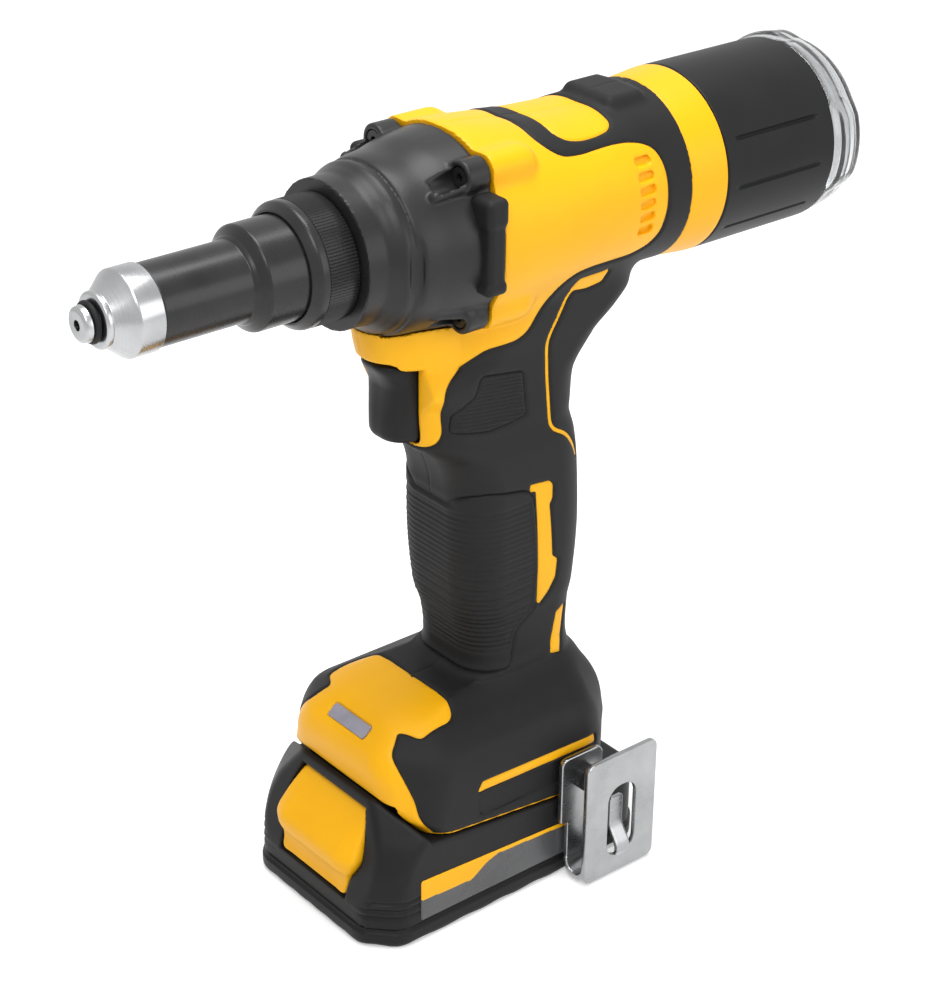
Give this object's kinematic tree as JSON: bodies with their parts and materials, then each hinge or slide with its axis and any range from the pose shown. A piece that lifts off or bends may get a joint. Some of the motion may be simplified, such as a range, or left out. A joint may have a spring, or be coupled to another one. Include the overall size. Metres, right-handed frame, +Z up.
{
  "type": "battery rivet tool",
  "caption": "Hand-held battery blind-rivet tool: turned nose, geared pulling head in a clamshell pistol body with rubber grip, screw-off mandrel jar, slide battery and belt hook.",
  "frame": {"origin": "centre of the battery's underside", "axes": "+X to the rear along the barrel, nose towards -X; +Z up; +Y to the tool's right, away from the belt hook"},
  "size_m": [0.286, 0.0886, 0.2613],
  "materials": {
    "yellow_plastic": "satin moulded",
    "black_plastic": "fine spark-eroded texture",
    "black_rubber": "matt overmould",
    "black_steel": "satin black oxide",
    "silver_steel": "turned satin",
    "steel": "machined",
    "black_gear_case": "fine cast texture, black",
    "clear_plastic": "clear moulded",
    "window_plastic": "clear lilac-grey",
    "copper": "wound and stamped",
    "board": "solder resist",
    "cell_wrap": "shrink film",
    "brass": "turned",
    "lead_sleeve": "wire sleeve"
  },
  "bodies": {
    "housing": {"left_housing": "yellow_plastic", "right_housing": "yellow_plastic", "left_grip": "black_rubber", "right_grip": "black_rubber", "side_pads": "black_rubber", "tail_ring": "yellow_plastic", "foot_panel": "yellow_plastic", "light_window": "window_plastic", "housing_screws": "steel", "gear_case": "black_gear_case", "gear_case_screws": "black_steel", "ring_gear": "steel", "nut_bearings": "steel", "motor_stator": "steel", "stator_coils": "copper", "motor_bearings": "steel", "motor_plates": "black_plastic", "mandrel_tube": "silver_steel", "trigger_switch": "black_plastic", "trigger_spring": "steel", "control_board": "board", "terminal_block": "black_plastic", "terminal_contacts": "copper", "battery_leads": "lead_sleeve", "motor_leads": "lead_sleeve", "hook_inserts": "brass", "jar_socket": "black_plastic", "belt_hook": "silver_steel", "belt_hook_screw": "black_steel"},
    "nose": {"nose_housing": "black_steel", "nose_cap": "silver_steel", "nosepiece": "silver_steel", "nose_ring": "black_rubber"},
    "lock_collar": {"lock_collar": "black_steel"},
    "rotor": {"rotor_shaft": "steel", "rotor_core": "steel", "cooling_fan": "black_plastic"},
    "nut": {"ball_nut": "steel", "planet_carrier": "steel"},
    "planet_1": {"planet_gear_1": "steel"},
    "planet_2": {"planet_gear_2": "steel"},
    "planet_3": {"planet_gear_3": "steel"},
    "screw": {"ball_screw": "steel", "jaw_case": "steel", "jaw_spring": "steel"},
    "jaw_1": {"jaw_1": "steel"},
    "jaw_2": {"jaw_2": "steel"},
    "jaw_3": {"jaw_3": "steel"},
    "jaw_pusher": {"jaw_pusher": "steel"},
    "trigger": {"trigger": "black_plastic"},
    "battery": {"battery_base": "black_plastic", "battery_top": "black_plastic", "battery_cells": "cell_wrap", "battery_board": "board", "battery_screws": "steel", "latch_spring": "steel"},
    "release_latch": {"release_latch": "yellow_plastic"},
    "jar_seal": {"jar_seal": "black_rubber"},
    "jar": {"jar_body": "black_plastic", "jar_end": "clear_plastic"}
  },
  "joints": [
    {"name": "rotor_spin", "type": "hinge", "parent": "housing", "child": "rotor", "pos_m": [0, 0, 0.23], "axis": [1, 0, 0], "range_deg": [0, 7201]},
    {"name": "nut_spin", "type": "hinge", "parent": "housing", "child": "nut", "pos_m": [0, 0, 0.23], "axis": [1, 0, 0], "range_deg": [0, 1801]},
    {"name": "planet_1_spin", "type": "hinge", "parent": "nut", "child": "planet_1", "pos_m": [0.002, 0, 0.215], "axis": [1, 0, 0], "range_deg": [-5401, 0]},
    {"name": "planet_2_spin", "type": "hinge", "parent": "nut", "child": "planet_2", "pos_m": [0.002, 0.01299, 0.2375], "axis": [1, 0, 0], "range_deg": [-5401, 0]},
    {"name": "planet_3_spin", "type": "hinge", "parent": "nut", "child": "planet_3", "pos_m": [0.002, -0.01299, 0.2375], "axis": [1, 0, 0], "range_deg": [-5401, 0]},
    {"name": "screw_pull", "type": "slide", "parent": "housing", "child": "screw", "axis": [1, 0, 0], "range_m": [0, 0.025]},
    {"name": "jaw_1_grip", "type": "slide", "parent": "screw", "child": "jaw_1", "axis": [-0.9829, 0, 0.1843], "range_m": [0, 0.00201]},
    {"name": "jaw_2_grip", "type": "slide", "parent": "screw", "child": "jaw_2", "axis": [-0.9829, -0.1596, -0.0921], "range_m": [0, 0.00201]},
    {"name": "jaw_3_grip", "type": "slide", "parent": "screw", "child": "jaw_3", "axis": [-0.9829, 0.1596, -0.0921], "range_m": [0, 0.00201]},
    {"name": "pusher_follow", "type": "slide", "parent": "screw", "child": "jaw_pusher", "axis": [-1, 0, 0], "range_m": [0, 0.00201], "deforming": ["jaw_spring"]},
    {"name": "collar_turn", "type": "hinge", "parent": "nose", "child": "lock_collar", "pos_m": [0, 0, 0.23], "axis": [-1, 0, 0], "range_deg": [0, 2161]},
    {"name": "nose_out", "type": "slide", "parent": "housing", "child": "nose", "axis": [-1, 0, 0], "range_m": [0, 0.009]},
    {"name": "trigger_pull", "type": "slide", "parent": "housing", "child": "trigger", "axis": [1, 0, 0], "range_m": [0, 0.007], "stiffness_N_per_m": 400, "springref_m": -0.008, "deforming": ["trigger_spring"]},
    {"name": "battery_slide", "type": "slide", "parent": "housing", "child": "battery", "axis": [-1, 0, 0], "range_m": [0, 0.09]},
    {"name": "latch_press", "type": "hinge", "parent": "battery", "child": "release_latch", "pos_m": [-0.054, 0, 0.0168], "axis": [0, 1, 0], "range_deg": [0, 6], "stiffness_Nm_per_rad": 0.4, "springref_deg": -17.19, "deforming": ["latch_spring"]},
    {"name": "jar_turn", "type": "hinge", "parent": "jar_seal", "child": "jar", "pos_m": [0, 0, 0.23], "axis": [1, 0, 0], "range_deg": [0, 541]},
    {"name": "jar_out", "type": "slide", "parent": "housing", "child": "jar_seal", "axis": [1, 0, 0], "range_m": [0, 0.009]}
  ],
  "couplings": [
    {"joint": "rotor_spin", "follows": "screw_pull", "rad_per_m": 5026.5},
    {"joint": "nut_spin", "follows": "screw_pull", "rad_per_m": 1256.6},
    {"joint": "planet_1_spin", "follows": "screw_pull", "rad_per_m": -3769.9},
    {"joint": "planet_2_spin", "follows": "screw_pull", "rad_per_m": -3769.9},
    {"joint": "planet_3_spin", "follows": "screw_pull", "rad_per_m": -3769.9},
    {"joint": "jaw_1_grip", "follows": "screw_pull", "ratio": 0.08},
    {"joint": "jaw_2_grip", "follows": "screw_pull", "ratio": 0.08},
    {"joint": "jaw_3_grip", "follows": "screw_pull", "ratio": 0.08},
    {"joint": "pusher_follow", "follows": "screw_pull", "ratio": 0.07863},
    {"joint": "collar_turn", "follows": "nose_out", "rad_per_m": 4188.8},
    {"joint": "jar_turn", "follows": "jar_out", "rad_per_m": 1047.2}
  ]
}
